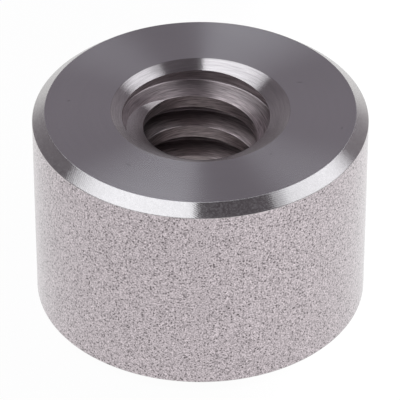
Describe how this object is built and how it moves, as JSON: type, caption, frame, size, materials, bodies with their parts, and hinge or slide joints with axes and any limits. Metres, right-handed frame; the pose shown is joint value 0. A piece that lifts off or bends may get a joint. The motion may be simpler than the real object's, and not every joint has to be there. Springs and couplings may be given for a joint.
{
  "type": "lead screw nut",
  "caption": "Round steel lead screw nut with a right-hand trapezoidal thread, a countersink at each mouth and bevelled outer edges.",
  "frame": {"origin": "centre of the lower end face, on the thread's axis", "axes": "+Z along the thread's axis, up from the lower end face to the upper one; +X to the right in the picture"},
  "size_m": [0.036, 0.036, 0.024],
  "materials": {
    "steel": "turned end faces, bevels and countersinks, and a matt speckled outside"
  },
  "bodies": {
    "root": {"nut": "steel"}
  },
  "joints": []
}
